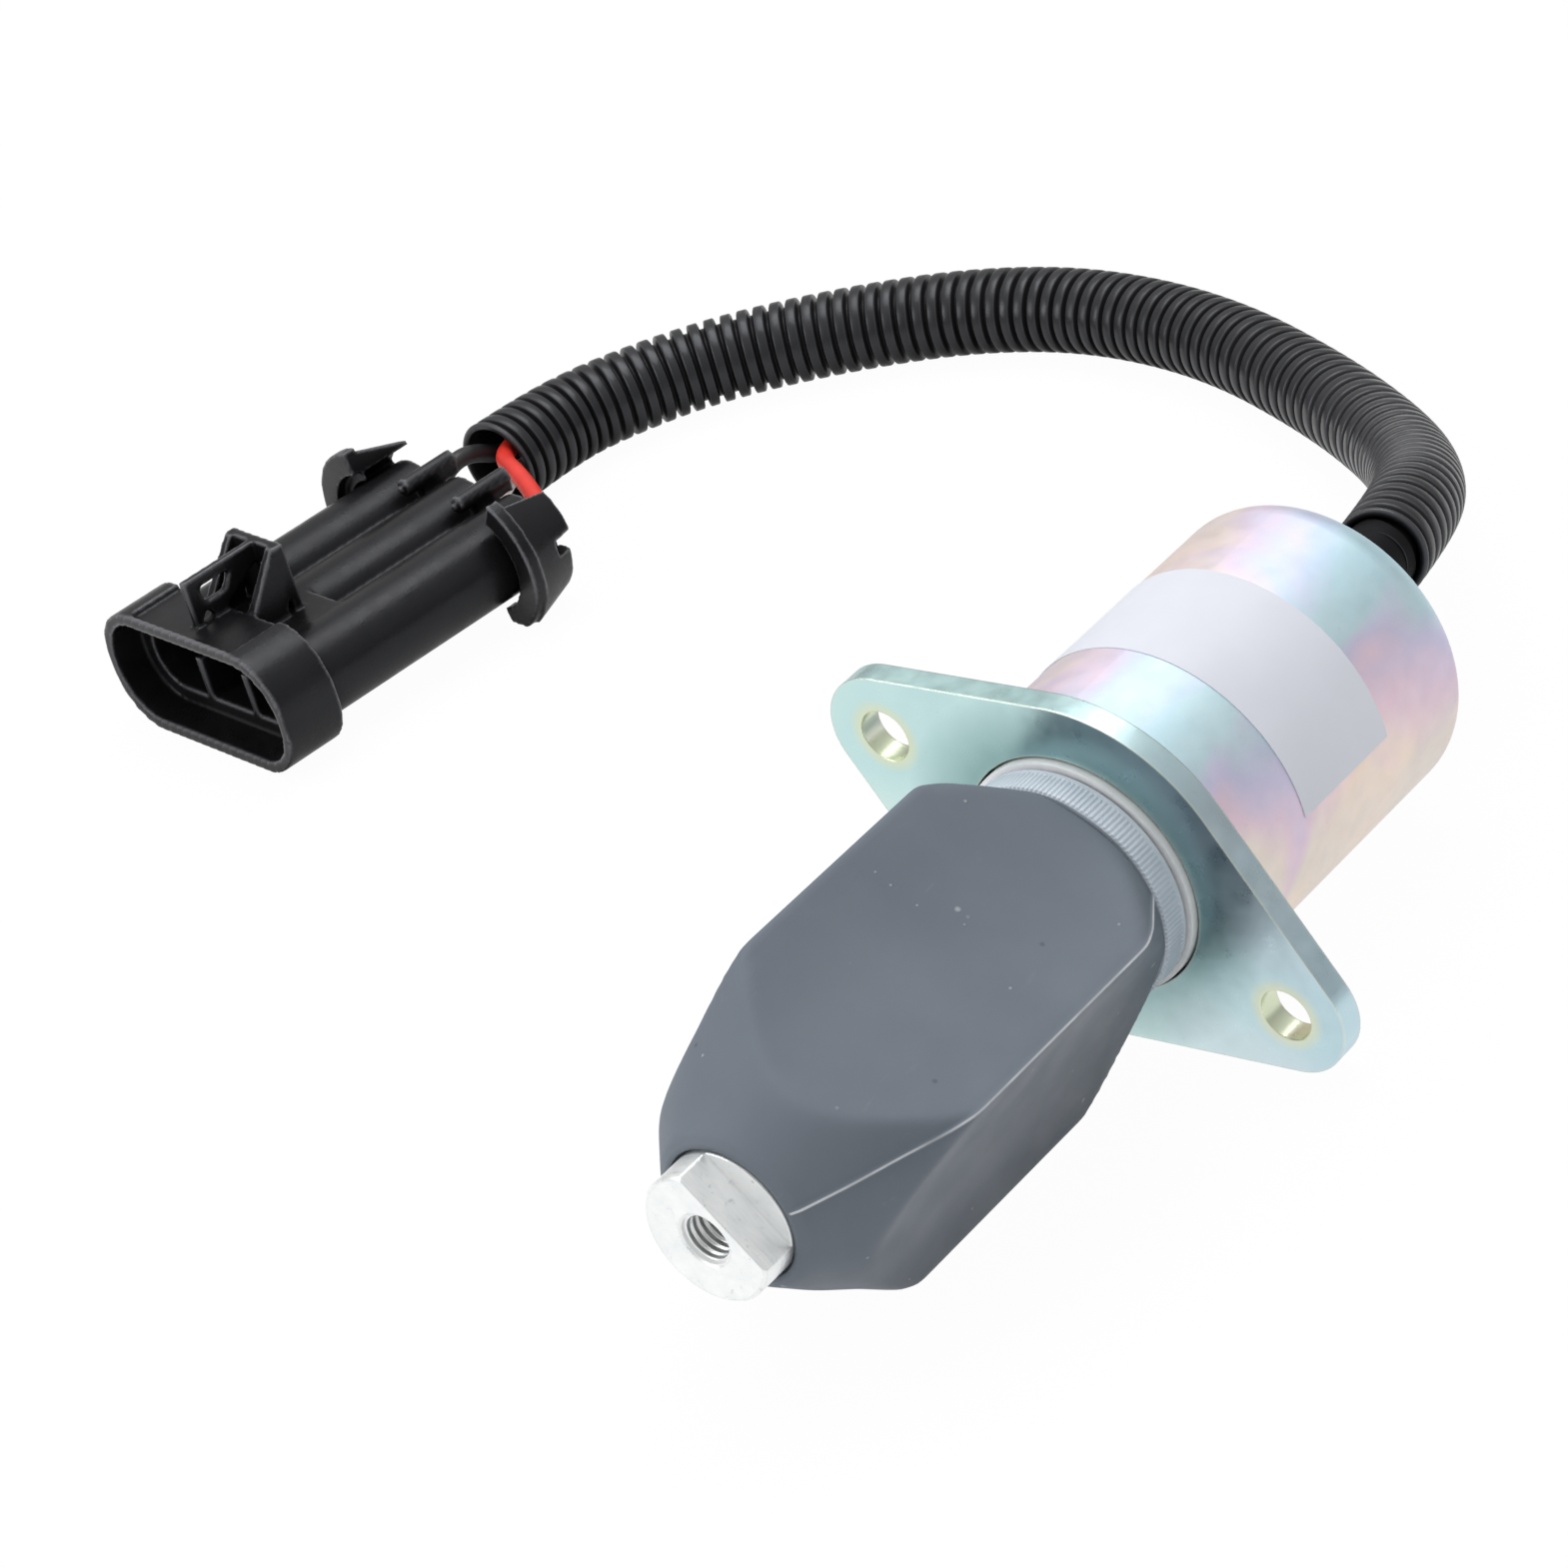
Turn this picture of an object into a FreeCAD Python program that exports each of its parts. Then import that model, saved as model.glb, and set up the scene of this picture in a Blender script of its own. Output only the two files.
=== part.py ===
"""Fuel shutoff solenoid: flanged pull solenoid with boot, loom and three-way connector.

Millimetres. Origin: centre of the flange's front face, on the plunger's axis.
+X runs towards the plunger's tapped end, +Z is up. The part lies on z = FLOOR.
"""
import math
import os
import FreeCAD
import Part

V = FreeCAD.Vector
X_AXIS = V(1, 0, 0)
Z_AXIS = V(0, 0, 1)

# Floor
FLOOR = -22.12

# Fits
RUNNING = 0.07
STATIC = 0.05
SOFT_GAP = 0.3

# Mounting flange
HOLE_SPACING = 56.0
HOLE_ANGLE = -31.0
HOLE_R = 3.3
FLANGE_T = 3.2
FLANGE_MID_R = 22.12
FLANGE_TIP_R = 7.66
FLANGE_BORE_R = 15.5

# Can
CAN_R = 19.5
CAN_WALL = 1.6
CAN_REAR_X = -51.6
CAN_EDGE_R = 5.17
CAN_INNER_R = CAN_R - CAN_WALL
CAN_FLOOR_X = CAN_REAR_X + CAN_WALL

# Cable exit in the can's rear
EXIT_Y = -1.3
EXIT_Z = 2.4
EXIT_R = 6.0
LIP_R = EXIT_R + 1.4
LIP_T = 1.3

# Plunger and what guides it
PLUNGER_R = 8.0
PLUNGER_REAR_X = -13.6
PLUNGER_FACE_X = 69.88
STROKE = 25.0
FLAT_DISTANCE = 4.43
FLAT_START_X = 65.3
FLAT_ANGLE = 40.0
THREAD_R = 2.75
THREAD_DEPTH = 12.0
TUBE_INNER_R = PLUNGER_R + RUNNING
TUBE_OUTER_R = 8.5

# Poles
POLE_R = CAN_INNER_R - STATIC
FRONT_PLATE_T = 4.0
RING_R = 15.2
RING_X = 0.8
NOSE_R = 11.7
NOSE_X = 6.2
REAR_PLATE_X = (-46.0, -42.5)
STOP_X = PLUNGER_REAR_X - STROKE - 0.5
WIRE_HOLE_R = 2.4
WIRE_HOLE_Z = POLE_R - 5.45

# Bobbin and windings
BOBBIN_R = TUBE_OUTER_R + STATIC
BOBBIN_WALL = 0.95
BOBBIN_FLANGE_R = CAN_INNER_R - 0.4
BOBBIN_FLANGE_T = 1.2
BOBBIN_X = (REAR_PLATE_X[1], -FLANGE_T - FRONT_PLATE_T)
WINDING_R = BOBBIN_R + BOBBIN_WALL + STATIC
HOLD_R = BOBBIN_FLANGE_R - 1.3
PULL_SHARE = 0.46
PULL_R = WINDING_R + PULL_SHARE * (HOLD_R - WINDING_R)
TAPE_T = 0.45

# Boot
BOOT_ANGLE = 13.9
BOOT_WALL = 1.8
BOOT_CORNER = 15.9
BOOT_CORNER_R = (1.6, 1.0)
BOOT_HOLLOW = 1.6
BOOT_OUTER = [(0.9, 13.5), (4.9, 13.5), (5.7, 14.9), (12.7, 20.2), (16.4, 22.2), (47.0, 22.2),
              (50.6, 20.4), (55.0, 17.0), (60.0, 13.6), (64.5, 9.9), (65.2, 9.0)]
BOOT_INNER = [(6.4, 11.75), (7.4, 13.4), (13.6, 18.3), (17.2, 20.3), (46.0, 20.3),
              (49.4, 18.6), (53.8, 15.2), (58.7, 11.9), (61.7, 9.2)]
GROOVE_X = (61.6, 64.4)
GROOVE_R = 7.2
LIP_X = (GROOVE_X[0] + SOFT_GAP, GROOVE_X[1] - SOFT_GAP)
LIP_ROOT_R = PLUNGER_R + 1.4

# Cable tie on the boot's neck
TIE_X = (1.15, 4.85)
TIE_R = (13.52, 14.75)
TIE_HEAD_W = 5.6
TIE_HEAD_H = 4.2
TIE_TAIL_T = 1.2
TIE_HEAD_ANGLE = 236.0

# Return spring and its seat
SPRING_WIRE_R = 0.8
SPRING_R = 10.2
SPRING_COILS = 9.0
SEAT_X = 58.2
SEAT_T = 1.0
SEAT_R = 11.0
RING_T = 0.8
RING_GROOVE_R = 7.3
RING_OUTER_R = 9.6

# Label
LABEL_X = (-33.4, -16.4)
LABEL_T = 0.12
LABEL_ANGLES = (1.1, 181.0)

# Loom and leads
LOOM_R = 6.0
LOOM_INNER_R = 5.0
LEAD_R = 1.3
LEAD_STEP = 2.78
LEAD_HOLE_R = LEAD_R + 0.03
SLEEVE_R = LOOM_INNER_R - 0.4
SLEEVE_WALL = 0.2
LOOM_ROUTE = [(-65.0, EXIT_Y, EXIT_Z), (-77.0, -4.8, 0.6), (-92.2, -14.7, -5.6), (-109.5, -31.0, -12.6),
              (-124.8, -52.9, -16.1), (-135.3, -77.3, -16.1), (-138.8, -100.3, -16.1),
              (-135.4, -119.2, -16.1), (-126.2, -136.9, -16.1), (-114.4, -152.2, -16.1),
              (-101.0, -161.4, -16.0), (-91.0, -164.5, -15.8), (-80.7, -164.8, -15.4)]
LEAD_START_X = REAR_PLATE_X[0] - 1.0

# Connector: placed by its mouth's centre on the floor, turned about Z
CONN_PLACE = (-16.84, -163.97, FLOOR)
CONN_TURN = -9.74
SHROUD_W = 40.2
SHROUD_H = 18.2
SHROUD_CORNER = 8.3
SHROUD_L = 9.3
SHROUD_WALL = 1.4
SHROUD_ROOF = 1.7
RECESS_HALF_W = 11.5
RECESS_DEPTH = 0.8
RECESS_RIM = 0.9
WIDE_DEPTH = 5.2
MOUTH_DEPTH = 20.0
DIVIDER_T = 1.2
DIVIDER_Y = (-6.0, 4.4)
DIVIDER_TOP = 10.2
BARREL_PITCH = 12.0
BARREL_R = 6.05
BARREL_WALL = 1.4
BARREL_H = 8.7
BARREL_REAR = -50.0
BARREL_SPLIT = -20.0
FLAT_HALF_H = 5.8
WEB_HALF_H = 3.2
SEAL_BORE_R = 4.4
SEAL_BORE_FLOOR = -38.0
CHANNEL_R = 1.9
PIN_R = 1.0
PIN_TIP_X = -8.4

# Latch on the connector's top; heights above the floor, x behind the mouth
LATCH_HALF_W = 5.6
LATCH_TOP = 24.3
PLATE_X = (-16.8, -15.4)
WALL_Y = (3.9, 5.3)
WALL_LEAN = 0.06
WALL_OUTLINE = [(-15.0, LATCH_TOP), (-16.9, LATCH_TOP), (-14.2, 14.2), (-9.2, 14.2), (-9.2, 17.3)]
RIB_T = 1.2
RIB_OUTLINE = [(-3.4, 16.6), (-3.4, LATCH_TOP), (-15.6, LATCH_TOP), (-15.6, 21.6), (-9.6, 18.6), (-8.0, 16.6)]
RIB_WINDOW = [(-5.6, 22.6), (-10.8, 22.6), (-9.4, 20.3), (-5.9, 20.3)]
RIB_FOOT_HOLE = [(-4.4, 17.6), (-6.9, 17.6), (-5.6, 19.3)]

# Round rods over the valleys between the barrels
ROD_R = 1.3
ROD_H = 14.9
ROD_X = (-52.8, -43.8)
ROD_OVERHANG = 2.6
KNOB_R = 0.6

# Lock clips: a crescent plate in front, a coned drum and a lobe behind it; angles from the outer side.
# The left one reaches further over its barrel, the right one further under it.
CLIP_BORE_R = 6.4
CRESCENT_X = (-43.2, -41.2)
CRESCENT_R = (7.4, 10.9)
CRESCENT_SHIFT = (0.3, 0.6)
CRESCENT_ANGLES = {-1: (-60.0, 80.0), 1: (-72.0, 62.0)}
DRUM_X = -51.2
DRUM_R = (8.3, 11.0)
DRUM_ANGLES = {-1: (8.0, 80.0), 1: (12.0, 57.0)}
DRUM_BORE_R = 7.7
DRUM_BORE_ANGLE = 30.0
LOBE_X = -50.0
LOBE_ANGLES = (-58.0, -2.0)
BRIDGE_X = -47.6

# Ways of the leads from the loom's end to their barrels: (x, y, z) in the connector's own axes
WAY_RED = [(-66.0, -10.8, 8.9), (-62.0, -8.6, 9.0), (-59.4, -1.6, 9.7), (-56.6, 5.2, 9.6),
           (-52.9, 12.0, BARREL_H)]
WAY_BLACK = [(-65.2, -13.4, 6.8), (-60.2, -12.6, 10.2), (-56.1, -12.0, 10.8), (-52.9, -12.0, BARREL_H)]
WAY_WHITE = [(-65.5, -12.4, 3.9), (-59.0, -6.0, 6.2), (-53.5, 0.0, BARREL_H)]


def cylinder(x0, x1, r, y=0.0, z=0.0):
    return Part.makeCylinder(r, x1 - x0, V(x0, y, z), X_AXIS)


def ring(x0, x1, r_in, r_out):
    return cylinder(x0, x1, r_out).cut(cylinder(x0 - 1, x1 + 1, r_in))


def revolve(profile):
    """Solid of revolution about X from (x, r) points; the axis closes it."""
    points = [V(profile[0][0], 0, 0)]
    points += [V(x, 0, r) for x, r in profile]
    points += [V(profile[-1][0], 0, 0), V(profile[0][0], 0, 0)]
    return Part.Face(Part.makePolygon(points)).revolve(V(0, 0, 0), X_AXIS, 360)


def around(angle, r):
    a = math.radians(angle)
    return V(0, r * math.cos(a), r * math.sin(a))


def turned(shape, angle):
    shape.rotate(V(0, 0, 0), X_AXIS, angle)
    return shape


def mounting_flange():
    """Two-hole plate: a middle disc and two tips joined by their common tangents."""
    half = HOLE_SPACING / 2
    lean = math.acos((FLANGE_MID_R - FLANGE_TIP_R) / half)
    c, s = math.cos(lean), math.sin(lean)
    mid = V(0, FLANGE_MID_R * c, FLANGE_MID_R * s)
    tip = V(0, half + FLANGE_TIP_R * c, FLANGE_TIP_R * s)
    ring_of = [V(0, mid.y, mid.z), V(0, tip.y, tip.z), V(0, tip.y, -tip.z), V(0, mid.y, -mid.z),
               V(0, -mid.y, -mid.z), V(0, -tip.y, -tip.z), V(0, -tip.y, tip.z), V(0, -mid.y, mid.z)]
    outline = Part.Face(Part.makePolygon(ring_of + [ring_of[0]]))
    plate = outline.extrude(V(-FLANGE_T, 0, 0))
    plate = plate.fuse(cylinder(-FLANGE_T, 0, FLANGE_MID_R))
    for side in (1, -1):
        plate = plate.fuse(cylinder(-FLANGE_T, 0, FLANGE_TIP_R, y=side * half))
    for side in (1, -1):
        plate = plate.cut(cylinder(-FLANGE_T - 1, 1, HOLE_R, y=side * half))
    plate = plate.cut(cylinder(-FLANGE_T - 1, 1, FLANGE_BORE_R))
    return turned(plate.removeSplitter(), HOLE_ANGLE)


def can():
    outer = cylinder(CAN_REAR_X, -FLANGE_T, CAN_R)
    rear = [e for e in outer.Edges if e.BoundBox.XMax < CAN_REAR_X + 0.01]
    outer = outer.makeFillet(CAN_EDGE_R, rear)
    inner = cylinder(CAN_FLOOR_X, -FLANGE_T, CAN_INNER_R)
    floor = [e for e in inner.Edges if e.BoundBox.XMax < CAN_FLOOR_X + 0.01]
    inner = inner.makeFillet(CAN_EDGE_R - CAN_WALL, floor)
    exit_hole = cylinder(CAN_REAR_X - 1, CAN_FLOOR_X + 1, EXIT_R, y=EXIT_Y, z=EXIT_Z)
    return outer.cut(inner).cut(exit_hole)


def front_pole():
    pole = cylinder(-FLANGE_T - FRONT_PLATE_T, -FLANGE_T, POLE_R)
    pole = pole.fuse(cylinder(-FLANGE_T, RING_X, RING_R))
    pole = pole.fuse(cylinder(RING_X, NOSE_X, NOSE_R))
    return pole.cut(cylinder(-10, NOSE_X + 1, BOBBIN_R)).removeSplitter()


def guide_tube():
    return ring(STOP_X + 0.1, NOSE_X - 0.4, TUBE_INNER_R, TUBE_OUTER_R)


def rear_pole():
    pole = cylinder(REAR_PLATE_X[0], REAR_PLATE_X[1], POLE_R)
    pole = pole.fuse(cylinder(REAR_PLATE_X[1], STOP_X, TUBE_OUTER_R))
    wire_hole = cylinder(REAR_PLATE_X[0] - 1, REAR_PLATE_X[1] + 1, WIRE_HOLE_R, z=WIRE_HOLE_Z)
    return pole.cut(wire_hole).removeSplitter()


def bobbin():
    x0, x1 = BOBBIN_X
    spool = ring(x0, x1, BOBBIN_R, BOBBIN_R + BOBBIN_WALL)
    spool = spool.fuse(ring(x0, x0 + BOBBIN_FLANGE_T, BOBBIN_R, BOBBIN_FLANGE_R))
    spool = spool.fuse(ring(x1 - BOBBIN_FLANGE_T, x1, BOBBIN_R, BOBBIN_FLANGE_R))
    return spool.removeSplitter()


def winding(r_in, r_out):
    return ring(BOBBIN_X[0] + BOBBIN_FLANGE_T, BOBBIN_X[1] - BOBBIN_FLANGE_T, r_in, r_out)


def without_lead_holes(body):
    """The body less three stacked holes for the leads, along the whole of it."""
    for i in (-1, 0, 1):
        hole = cylinder(body.BoundBox.XMin - 1, body.BoundBox.XMax + 1, LEAD_HOLE_R, y=EXIT_Y,
                        z=EXIT_Z + i * LEAD_STEP)
        body = body.cut(hole)
    return body


def rear_potting():
    disc = cylinder(CAN_FLOOR_X, REAR_PLATE_X[0], CAN_R - CAN_EDGE_R - SOFT_GAP)
    lip_room = cylinder(CAN_FLOOR_X - 1, CAN_FLOOR_X + LIP_T + 0.2, LIP_R + 0.2, y=EXIT_Y, z=EXIT_Z)
    return without_lead_holes(disc.cut(lip_room))


def rear_grommet():
    """Two flanges clip over the can's rear wall; the sleeve enters the loom."""
    x0, x1 = CAN_REAR_X, CAN_FLOOR_X
    end = LOOM_ROUTE[0][0]
    body = revolve([(end - 0.6, SLEEVE_R), (end + 5.0, SLEEVE_R), (x0 - 1.5, EXIT_R + 0.4), (x0 - 1.5, LIP_R),
                    (x0, LIP_R), (x0, EXIT_R - STATIC), (x1, EXIT_R - STATIC), (x1, LIP_R), (x1 + LIP_T, LIP_R)])
    body = body.cut(cylinder(end - 1, end + 6.5, SLEEVE_R - SLEEVE_WALL))
    body.translate(V(0, EXIT_Y, EXIT_Z))
    return without_lead_holes(body)


def label():
    band = ring(LABEL_X[0], LABEL_X[1], CAN_R, CAN_R + LABEL_T)
    a0, a1 = LABEL_ANGLES
    far = 3 * CAN_R
    count = 12
    fan = [V(LABEL_X[0] - 1, 0, 0)]
    for i in range(count + 1):
        fan.append(V(LABEL_X[0] - 1, 0, 0) + around(a0 + (a1 - a0) * i / count, far))
    fan.append(fan[0])
    return band.common(Part.Face(Part.makePolygon(fan)).extrude(V(LABEL_X[1] - LABEL_X[0] + 2, 0, 0)))


def plunger():
    bar = cylinder(PLUNGER_REAR_X, PLUNGER_FACE_X, PLUNGER_R)
    ends = [e for e in bar.Edges if len(e.Vertexes) == 1]
    bar = bar.makeChamfer(0.35, ends)
    bar = bar.cut(ring(GROOVE_X[0], GROOVE_X[1], GROOVE_R, PLUNGER_R + 1))
    bar = bar.cut(ring(SEAT_X + SEAT_T, SEAT_X + SEAT_T + RING_T, RING_GROOVE_R, PLUNGER_R + 1))
    slab = Part.makeBox(10, 20, 20, V(FLAT_START_X, FLAT_DISTANCE, -10))
    bar = bar.cut(turned(slab, FLAT_ANGLE))
    bar = bar.cut(cylinder(PLUNGER_FACE_X - THREAD_DEPTH, PLUNGER_FACE_X + 1, THREAD_R))
    return bar.cut(Part.makeCone(THREAD_R, THREAD_R + 0.7, 0.7, V(PLUNGER_FACE_X - 0.7, 0, 0), X_AXIS))


def spring_seat():
    return ring(SEAT_X, SEAT_X + SEAT_T, PLUNGER_R + STATIC, SEAT_R)


def retaining_ring():
    x0 = SEAT_X + SEAT_T
    clip = ring(x0, x0 + RING_T, RING_GROOVE_R, RING_OUTER_R)
    return clip.cut(Part.makeBox(3, 5, 12, V(x0 - 1, -2.5, 0)))


def return_spring():
    """Open-ended coil between the nose tube and the seat."""
    x0 = NOSE_X + SPRING_WIRE_R
    x1 = SEAT_X - SOFT_GAP - SPRING_WIRE_R
    length = x1 - x0
    helix = Part.makeHelix(length / SPRING_COILS, length, SPRING_R)
    helix.rotate(V(0, 0, 0), V(0, 1, 0), 90)
    helix.translate(V(x0, 0, 0))
    start = helix.Edges[0].valueAt(helix.Edges[0].FirstParameter)
    tangent = helix.Edges[0].tangentAt(helix.Edges[0].FirstParameter)
    section = Part.Wire(Part.makeCircle(SPRING_WIRE_R, start, tangent))
    return Part.Wire(helix.Edges).makePipeShell([section], True, True)


def boot_prism(x0, x1, corner, hollow, round_r):
    """Square prism with gently hollow sides and rounded corners."""
    points = [V(x0, corner, corner), V(x0, -corner, corner), V(x0, -corner, -corner), V(x0, corner, -corner)]
    edges = []
    for i in range(4):
        a, b = points[i], points[(i + 1) % 4]
        mid = (a + b) * 0.5
        inward = V(0, -mid.y, -mid.z)
        inward.normalize()
        edges.append(Part.Arc(a, mid + inward * hollow, b).toShape())
    prism = Part.Face(Part.Wire(edges)).extrude(V(x1 - x0, 0, 0))
    long_edges = [e for e in prism.Edges if e.BoundBox.XLength > (x1 - x0) * 0.9]
    return turned(prism.makeFillet(round_r, long_edges), BOOT_ANGLE - 45)


def boot():
    """Rubber boot: neck on the nose tube, four-cornered bulb, lip in the plunger's groove."""
    start, end = BOOT_OUTER[0][0] - 1, BOOT_OUTER[-1][0] + 1
    outer = revolve(BOOT_OUTER)
    outer = outer.common(boot_prism(start, end, BOOT_CORNER, BOOT_HOLLOW, BOOT_CORNER_R[0]))
    inner = revolve(BOOT_INNER)
    inner = inner.common(boot_prism(start, end, BOOT_CORNER - BOOT_WALL, BOOT_HOLLOW, BOOT_CORNER_R[1]))
    shell = outer.cut(inner)
    shell = shell.cut(cylinder(start, BOOT_INNER[1][0], NOSE_R + STATIC))
    shell = shell.cut(cylinder(BOOT_INNER[-1][0] - 1, end, PLUNGER_R + SOFT_GAP))
    lip = ring(LIP_X[0], LIP_X[1], GROOVE_R + SOFT_GAP, LIP_ROOT_R)
    return shell.fuse(lip).removeSplitter()


def boot_tie():
    band = ring(TIE_X[0], TIE_X[1], TIE_R[0], TIE_R[1])
    width = TIE_X[1] - TIE_X[0]
    half = TIE_HEAD_W / 2
    head = Part.makeBox(width - 0.2, TIE_HEAD_W, TIE_HEAD_H, V(TIE_X[0] + 0.1, -half, TIE_R[0] + 0.6))
    tail = Part.makeBox(width - 1.2, TIE_TAIL_T, TIE_HEAD_H - 1.2, V(TIE_X[0] + 0.6, half, TIE_R[0] + 1.6))
    head = head.fuse(tail)
    return band.fuse(turned(head, TIE_HEAD_ANGLE - 90)).removeSplitter()


def centreline(points):
    """Straight runs joined by tangent arcs, as a wire; prints the smallest arc radius."""
    edges = []
    start = points[0]
    radii = []
    for i in range(1, len(points) - 1):
        before, here, after = points[i - 1], points[i], points[i + 1]
        d0 = (here - before)
        d1 = (after - here)
        run = min(d0.Length, d1.Length)
        d0.normalize()
        d1.normalize()
        turn = d0.getAngle(d1)
        reach = 0.45 * run
        radii.append(reach / math.tan(turn / 2))
        p0 = here - d0 * reach
        p1 = here + d1 * reach
        chord = d1 - d0
        chord.normalize()
        sagitta = reach * math.tan(turn / 4) * math.cos(turn / 2)
        mid = (p0 + p1) * 0.5 + chord * (-sagitta)
        edges.append(Part.makeLine(start, p0))
        edges.append(Part.Arc(p0, mid, p1).toShape())
        start = p1
    edges.append(Part.makeLine(start, points[-1]))
    print("   smallest bend %.1f mm, length %.1f mm" % (min(radii), sum(e.Length for e in edges)))
    return Part.Wire(edges)


def pipe(points, r):
    path = centreline(points)
    first = points[1] - points[0]
    section = Part.Wire(Part.makeCircle(r, points[0], first))
    return path.makePipeShell([section], True, False)


def connector_point(p):
    """A point in the connector's own axes, moved to its place."""
    a = math.radians(CONN_TURN)
    x = p[0] * math.cos(a) - p[1] * math.sin(a)
    y = p[0] * math.sin(a) + p[1] * math.cos(a)
    return V(x + CONN_PLACE[0], y + CONN_PLACE[1], p[2] + CONN_PLACE[2])


def placed(shape):
    shape.rotate(V(0, 0, 0), Z_AXIS, CONN_TURN)
    shape.translate(V(*CONN_PLACE))
    return shape


def loom():
    route = [V(*p) for p in LOOM_ROUTE]
    outside = pipe(route, LOOM_R)
    return outside.cut(pipe(route, LOOM_INNER_R))


def lead(dz, way, barrel):
    """From the grommet, stacked in the loom, then to its barrel."""
    rise = V(0, 0, dz)
    points = [V(LEAD_START_X, EXIT_Y, EXIT_Z) + rise]
    points += [V(*p) + rise for p in LOOM_ROUTE[:-1]]
    points += [connector_point(p) for p in way]
    points.append(connector_point((BARREL_REAR + 3.5, barrel * BARREL_PITCH, BARREL_H)))
    return pipe(points, LEAD_R)


def oblong(x0, x1, width, height, corner, centre):
    box = Part.makeBox(x1 - x0, width, height, V(x0, -width / 2, centre - height / 2))
    along = [e for e in box.Edges if e.BoundBox.XLength > (x1 - x0) * 0.9]
    return box.makeFillet(corner, along)


def outline_plate(outline, y0, y1):
    """Upright plate with its outline as (x, z) points, from y0 to y1."""
    points = [V(x, y0, z) for x, z in outline]
    return Part.Face(Part.makePolygon(points + [points[0]])).extrude(V(0, y1 - y0, 0))


def raked_wall(side):
    """Side wall of the latch; its outer face leans outwards towards the foot."""
    top = WALL_OUTLINE[0][1]
    inner = [V(x, side * WALL_Y[0], z) for x, z in WALL_OUTLINE]
    outer = [V(x, side * (WALL_Y[1] + WALL_LEAN * (top - z)), z) for x, z in WALL_OUTLINE]
    wires = [Part.makePolygon(points + [points[0]]) for points in (inner, outer)]
    return Part.makeLoft(wires, True, True)


def latch():
    """Back plate, two raked side walls and a middle rib with a window."""
    foot = BARREL_H + FLAT_HALF_H - 1
    plate = Part.makeBox(PLATE_X[1] - PLATE_X[0], 2 * LATCH_HALF_W, LATCH_TOP - foot,
                         V(PLATE_X[0], -LATCH_HALF_W, foot))
    rib = outline_plate(RIB_OUTLINE, -RIB_T / 2, RIB_T / 2)
    for hole in (RIB_WINDOW, RIB_FOOT_HOLE):
        rib = rib.cut(outline_plate(hole, -RIB_T, RIB_T))
    return plate.fuse(rib).fuse(raked_wall(-1)).fuse(raked_wall(1))


def barrels():
    """Three barrels, the web between them and the flat that covers them up to the split."""
    width = 2 * BARREL_PITCH
    body = Part.makeBox(BARREL_SPLIT - BARREL_REAR - 4, width, 2 * WEB_HALF_H,
                        V(BARREL_REAR + 4, -BARREL_PITCH, BARREL_H - WEB_HALF_H))
    flat = Part.makeBox(-SHROUD_L + 1 - BARREL_SPLIT, width, 2 * FLAT_HALF_H,
                        V(BARREL_SPLIT, -BARREL_PITCH, BARREL_H - FLAT_HALF_H))
    body = body.fuse(flat)
    for i in (-1, 0, 1):
        body = body.fuse(cylinder(BARREL_REAR, -SHROUD_L + 1, BARREL_R, y=i * BARREL_PITCH, z=BARREL_H))
    return body


def rear_rod(side):
    """Round rod over a valley, on a web, with a small knob on its overhanging front end."""
    y = side * BARREL_PITCH / 2
    x0, x1 = ROD_X
    rod = cylinder(x0, x1, ROD_R, y=y, z=ROD_H)
    web_x1 = x1 - ROD_OVERHANG
    tail = Part.makeBox(web_x1 - x0, 1.6 * ROD_R, 1.6 * ROD_R, V(x0, y - 0.8 * ROD_R, ROD_H - 1.6 * ROD_R))
    web = Part.makeBox(web_x1 - BARREL_REAR, ROD_R, ROD_H - BARREL_H, V(BARREL_REAR, y - ROD_R / 2, BARREL_H))
    knob = cylinder(x1 - 1, x1 + KNOB_R, KNOB_R, y=y, z=ROD_H)
    return rod.fuse(tail).fuse(web).fuse(knob)


def mouth():
    """Wide hollow in the shroud, then a pocket for the pins with two dividers on its floor."""
    wide = oblong(-WIDE_DEPTH, 1, SHROUD_W - 2 * SHROUD_WALL, SHROUD_H - 2 * SHROUD_ROOF,
                  SHROUD_CORNER - SHROUD_WALL, SHROUD_H / 2)
    inner_r = BARREL_R - BARREL_WALL
    pocket = oblong(-MOUTH_DEPTH, -WIDE_DEPTH + 1, 2 * (BARREL_PITCH + inner_r), 2 * inner_r + 0.1, inner_r,
                    BARREL_H)
    for y in DIVIDER_Y:
        corner = V(-MOUTH_DEPTH - 1, y - DIVIDER_T / 2, -1)
        pocket = pocket.cut(Part.makeBox(MOUTH_DEPTH - WIDE_DEPTH + 1, DIVIDER_T, DIVIDER_TOP + 1, corner))
    return wide.fuse(pocket)


def connector_shell():
    shell = oblong(-SHROUD_L, 0, SHROUD_W, SHROUD_H, SHROUD_CORNER, SHROUD_H / 2)
    shell = shell.cut(Part.makeBox(SHROUD_L - RECESS_RIM, 2 * RECESS_HALF_W, RECESS_DEPTH + 1,
                                   V(-SHROUD_L, -RECESS_HALF_W, SHROUD_H - RECESS_DEPTH)))
    for piece in (barrels(), latch(), rear_rod(-1), rear_rod(1)):
        shell = shell.fuse(piece)
    shell = shell.cut(mouth())
    for i in (-1, 0, 1):
        y = i * BARREL_PITCH
        shell = shell.cut(cylinder(BARREL_REAR - 1, SEAL_BORE_FLOOR, SEAL_BORE_R, y=y, z=BARREL_H))
        shell = shell.cut(cylinder(SEAL_BORE_FLOOR - 1, -MOUTH_DEPTH + 1, CHANNEL_R, y=y, z=BARREL_H))
    return placed(shell.removeSplitter())


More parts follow.
